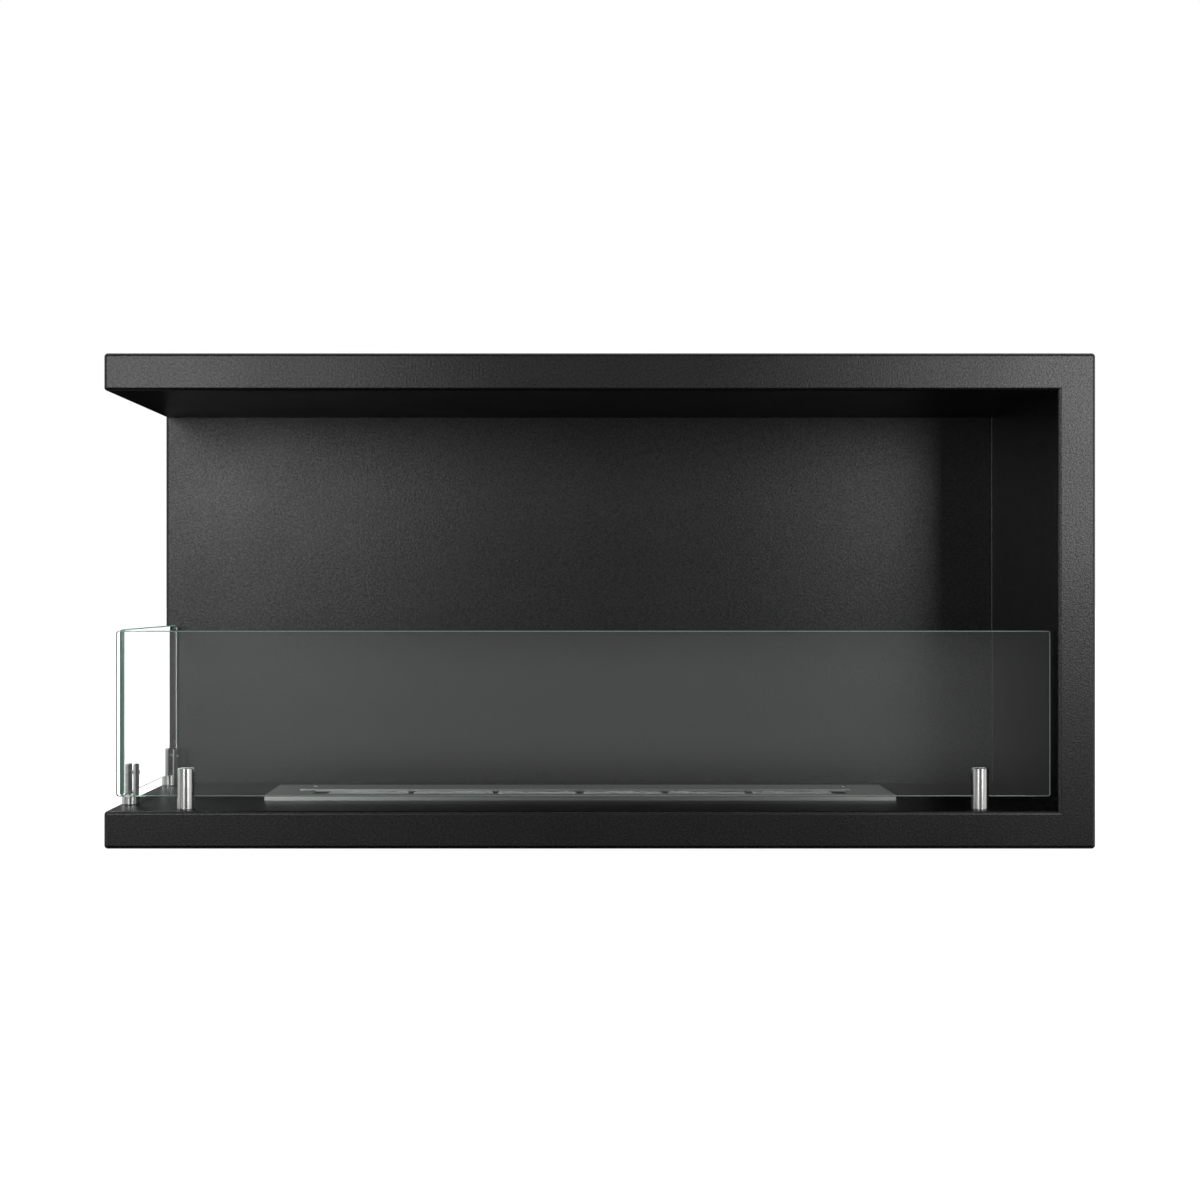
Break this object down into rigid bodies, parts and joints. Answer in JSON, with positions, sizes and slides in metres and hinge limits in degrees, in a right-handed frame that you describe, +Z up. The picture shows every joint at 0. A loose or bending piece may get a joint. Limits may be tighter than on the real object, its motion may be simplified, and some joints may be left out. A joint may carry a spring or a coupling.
{
  "type": "bioethanol fireplace",
  "caption": "Built-in corner bioethanol fireplace, open at the front and left, with low glass screens in slotted posts and a long slot burner with a sliding lid.",
  "frame": {"origin": "on the standing surface, under the middle of the casing", "axes": "+X to the right along the front, +Y to the back, +Z up; the front faces -Y and the open end faces -X"},
  "size_m": [1, 0.3, 0.5],
  "materials": {
    "powder_coat_black": "fine-textured matt powder coat",
    "galvanised_steel": "galvanised sheet",
    "toughened_glass": "clear float glass with a green edge",
    "turned_stainless": "turned and polished",
    "screw_stainless": "bright",
    "silicone_pad": "clear grey silicone",
    "brushed_stainless": "brushed along its length",
    "ceramic_wool": "matt white ceramic wool"
  },
  "bodies": {
    "casing": {"top_shell": "powder_coat_black", "right_shell": "powder_coat_black", "bottom_shell": "powder_coat_black", "upper_end_cap": "powder_coat_black", "lower_end_cap": "powder_coat_black", "back_liner": "powder_coat_black", "rear_cover": "powder_coat_black", "ceiling_channels": "galvanised_steel", "floor_channels": "galvanised_steel", "back_channels": "galvanised_steel", "front_left_clamp": "turned_stainless", "front_right_clamp": "turned_stainless", "side_front_clamp": "turned_stainless", "side_rear_clamp": "turned_stainless", "clamp_set_screws": "screw_stainless", "glass_rest_pads": "silicone_pad", "clamp_weld_nuts": "galvanised_steel"},
    "front_screen": {"front_glass": "toughened_glass"},
    "side_screen": {"side_glass": "toughened_glass"},
    "burner": {"burner_deck": "brushed_stainless", "fuel_tank": "brushed_stainless", "tank_baffles": "brushed_stainless", "fibre_pads": "ceramic_wool"},
    "lid": {"sliding_lid": "brushed_stainless", "lid_guide_pins": "screw_stainless"}
  },
  "joints": [
    {"name": "burner_lift", "type": "slide", "parent": "casing", "child": "burner", "axis": [0, 0, 1], "range_m": [0, 0.06]},
    {"name": "lid_slide", "type": "slide", "parent": "burner", "child": "lid", "axis": [0, -1, 0], "range_m": [0, 0.035]},
    {"name": "front_screen_lift", "type": "slide", "parent": "casing", "child": "front_screen", "axis": [0, 0, 1], "range_m": [0, 0.04]},
    {"name": "side_screen_lift", "type": "slide", "parent": "casing", "child": "side_screen", "axis": [0, 0, 1], "range_m": [0, 0.04]}
  ]
}
